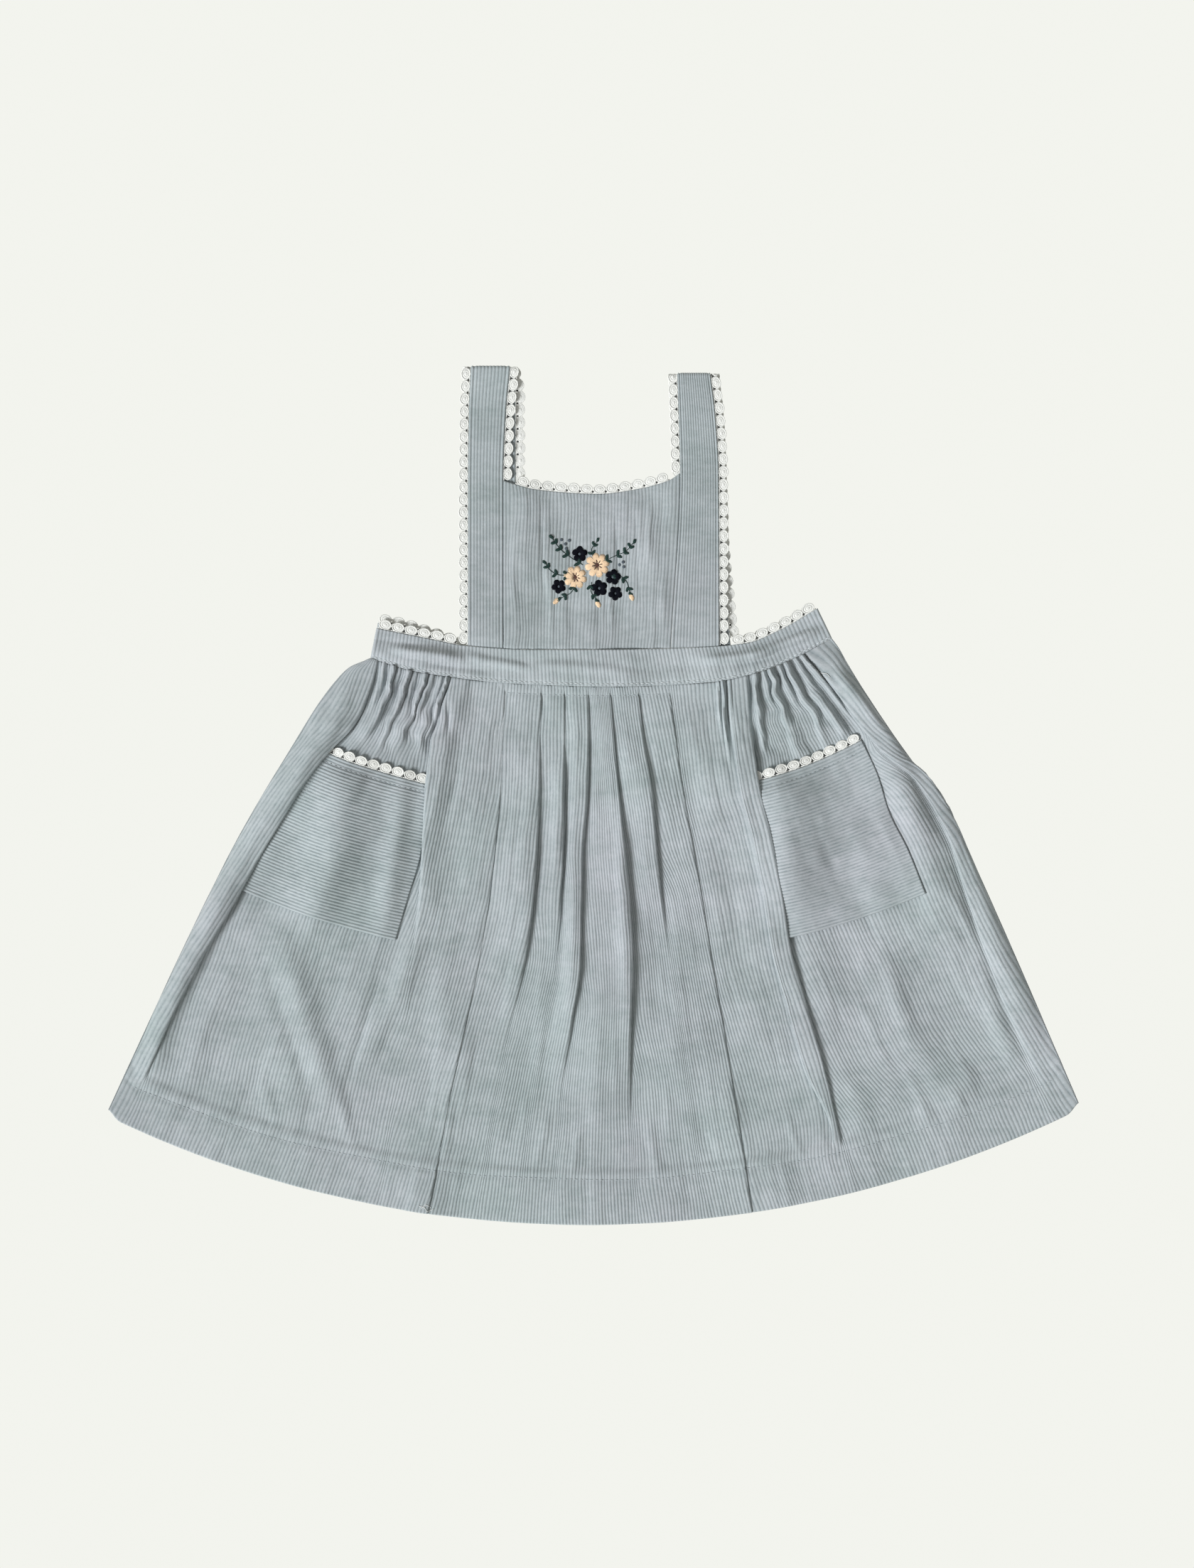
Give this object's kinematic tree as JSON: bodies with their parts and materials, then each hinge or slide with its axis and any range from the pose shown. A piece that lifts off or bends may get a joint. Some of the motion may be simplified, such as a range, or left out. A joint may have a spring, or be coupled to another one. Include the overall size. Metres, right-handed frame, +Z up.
{
  "type": "pinafore dress",
  "caption": "Child's corduroy pinafore dress laid flat: bib on wide straps, curved waistband, pleated and gathered skirt, patch pockets, scalloped lace edges.",
  "frame": {"origin": "middle of the dress on the surface it lies on", "axes": "+Y from the hem to the shoulders, +X to the dress's right as seen from above its front, +Z up out of its front"},
  "size_m": [0.5728, 0.5073, 0.0075],
  "materials": {
    "corduroy": "matt blue-grey fine-wale corduroy with a soft nap",
    "lace": "off-white cotton crochet lace with a scalloped edge"
  },
  "bodies": {
    "root": {"skirt_front_left": "corduroy", "skirt_front_centre": "corduroy", "skirt_front_right": "corduroy", "skirt_back": "corduroy", "waistband_front": "corduroy", "waistband_back": "corduroy", "bib": "corduroy", "strap_left": "corduroy", "strap_right": "corduroy", "pocket_left": "corduroy", "pocket_right": "corduroy", "lace_neck": "lace", "lace_strap_inner_left": "lace", "lace_strap_inner_right": "lace", "lace_strap_outer_left": "lace", "lace_strap_outer_right": "lace", "lace_waist_left": "lace", "lace_waist_right": "lace", "lace_back_waist_left": "lace", "lace_back_waist_right": "lace", "lace_pocket_left": "lace", "lace_pocket_right": "lace"}
  },
  "joints": []
}
